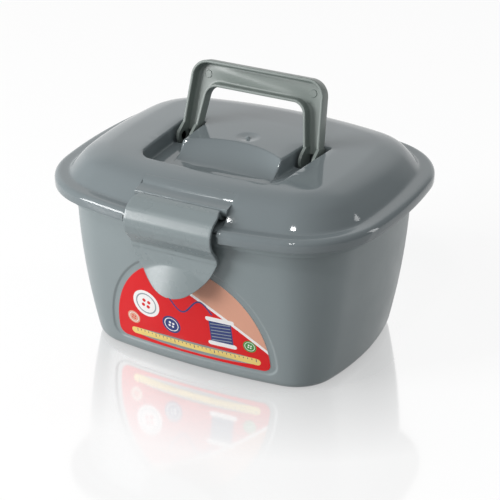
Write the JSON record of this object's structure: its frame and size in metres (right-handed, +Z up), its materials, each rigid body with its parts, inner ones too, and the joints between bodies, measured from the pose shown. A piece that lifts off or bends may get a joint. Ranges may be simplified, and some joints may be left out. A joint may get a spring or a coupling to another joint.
{
  "type": "storage case",
  "caption": "Tapered storage case with a domed hinged lid, a front latch, a fold-down carrying handle and a lift-out divided tray.",
  "frame": {"origin": "middle of the tub's flat resting face", "axes": "+Z up, -Y to the front with the latch and the label, +X along the front to the right"},
  "size_m": [0.24, 0.2093, 0.1828],
  "materials": {
    "tub_plastic": "satin",
    "lid_plastic": "gloss",
    "latch_plastic": "semi gloss",
    "handle_plastic": "satin",
    "label_film": "printed gloss",
    "tray_plastic": "satin"
  },
  "bodies": {
    "case": {"tub": "tub_plastic", "label": "label_film"},
    "tray": {"tray": "tray_plastic"},
    "lid": {"lid": "lid_plastic"},
    "latch": {"latch": "latch_plastic"},
    "handle": {"handle": "handle_plastic"}
  },
  "joints": [
    {"name": "lid_hinge", "type": "hinge", "parent": "case", "child": "lid", "pos_m": [0, 0.1015, 0.106], "axis": [-1, 0, 0], "range_deg": [0, 105]},
    {"name": "latch_swing", "type": "hinge", "parent": "lid", "child": "latch", "pos_m": [0, -0.0795, 0.128], "axis": [-1, 0, 0], "range_deg": [0, 90]},
    {"name": "handle_fold", "type": "hinge", "parent": "lid", "child": "handle", "pos_m": [0, 0.0045, 0.131], "axis": [1, 0, 0], "range_deg": [0, 105]},
    {"name": "tray_lift", "type": "slide", "parent": "case", "child": "tray", "axis": [0, 0, 1], "range_m": [0, 0.007]}
  ]
}
